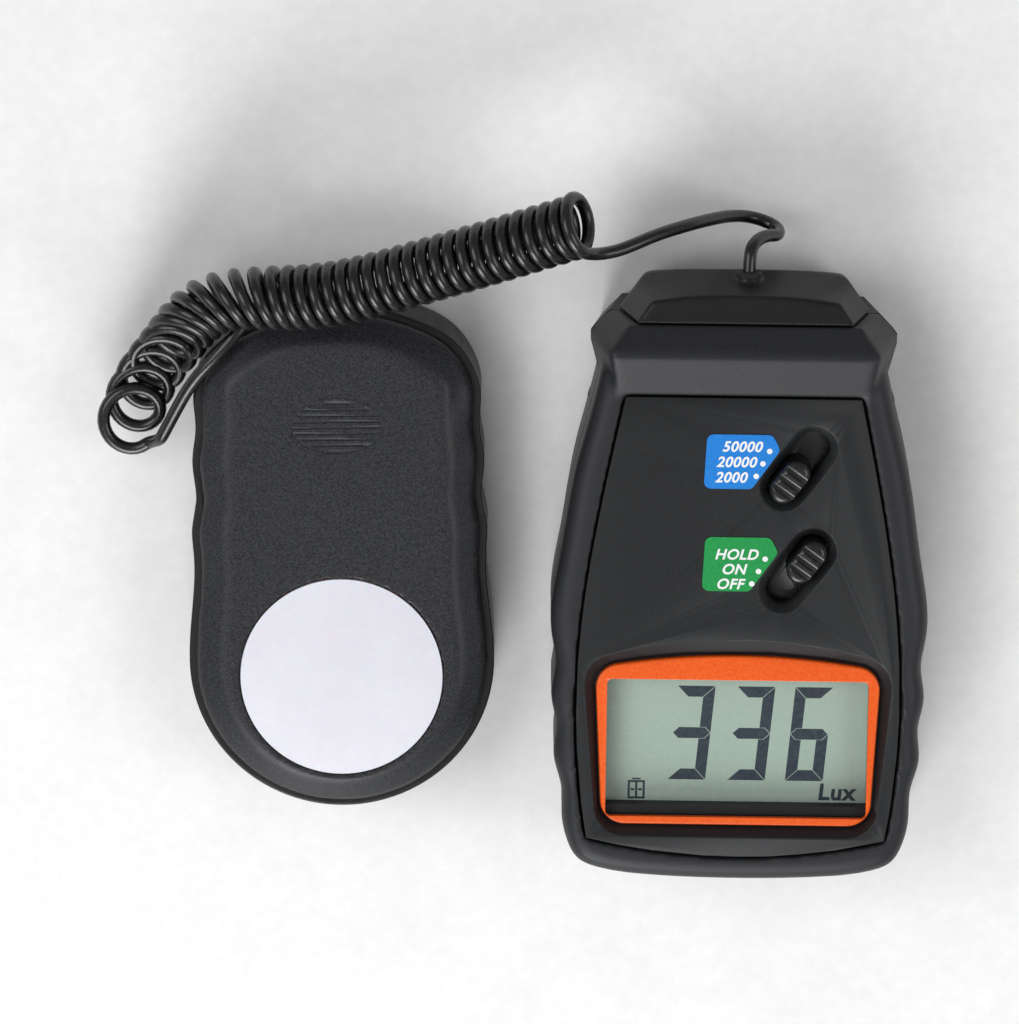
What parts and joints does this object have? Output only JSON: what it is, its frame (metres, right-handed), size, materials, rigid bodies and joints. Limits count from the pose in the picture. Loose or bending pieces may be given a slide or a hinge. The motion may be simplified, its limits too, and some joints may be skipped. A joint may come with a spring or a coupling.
{
  "type": "handheld light meter",
  "caption": "Handheld light meter with a display, slanted slide switches and a separate sensor head on a curly lead.",
  "frame": {"origin": "middle of the meter's back, on the surface that it lies on", "axes": "+Z out of the meter's face, +Y along the meter towards its cord end, +X towards its switch side"},
  "size_m": [0.1561, 0.133, 0.0346],
  "materials": {
    "case_plastic": "fine matt texture",
    "cap_plastic": "satin black",
    "panel_plastic": "fine matt texture",
    "bezel_orange": "satin orange",
    "holder_plastic": "satin",
    "display": "grey-green liquid crystal glass",
    "rubber_black": "matt rubber",
    "board_green": "solder mask",
    "component_black": "moulded",
    "post_plastic": "natural nylon",
    "knob_plastic": "semi-gloss",
    "label_blue": "printed film",
    "label_green": "printed film",
    "steel": "zinc plated",
    "spring_steel": "nickel plated",
    "battery_skin": "bare can with a plain sleeve",
    "diffuser_white": "translucent white",
    "filter_glass": "coloured filter glass",
    "diode": "silicon cell in a carrier",
    "cord_jacket": "semi-gloss jacket"
  },
  "bodies": {
    "meter": {"front_housing": "case_plastic", "rear_housing": "case_plastic", "top_cap": "cap_plastic", "face_panel": "panel_plastic", "display_bezel": "bezel_orange", "display_holder": "holder_plastic", "display_glass": "display", "display_contact_strips": "rubber_black", "main_board": "board_green", "board_components": "component_black", "board_posts": "post_plastic", "battery": "battery_skin", "battery_contacts": "spring_steel", "battery_spring": "spring_steel", "housing_screws": "steel", "range_switch": "component_black", "range_label": "label_blue", "power_switch": "component_black", "power_label": "label_green", "meter_gland": "rubber_black", "sensor_front_shell": "case_plastic", "sensor_rear_shell": "cap_plastic", "diffuser": "diffuser_white", "diffuser_retainer": "holder_plastic", "color_filter": "filter_glass", "photodiode": "diode", "sensor_board": "board_green", "sensor_board_screws": "steel", "sensor_screws": "steel", "sensor_gland": "rubber_black", "meter_lead": "cord_jacket", "coil": "cord_jacket", "sensor_lead": "cord_jacket"},
    "range_switch_slide": {"range_slider": "post_plastic", "range_knob": "knob_plastic"},
    "power_switch_slide": {"power_slider": "post_plastic", "power_knob": "knob_plastic"},
    "battery_cover": {"battery_cover": "case_plastic"}
  },
  "joints": [
    {"name": "range_slide", "type": "slide", "parent": "meter", "child": "range_switch_slide", "axis": [0.5948, 0.8039, 0], "range_m": [0, 0.0054]},
    {"name": "power_slide", "type": "slide", "parent": "meter", "child": "power_switch_slide", "axis": [0.5948, 0.8039, 0], "range_m": [-0.0054, 0]},
    {"name": "battery_cover_slide", "type": "slide", "parent": "meter", "child": "battery_cover", "axis": [0, -1, 0], "range_m": [0, 0.03]}
  ]
}
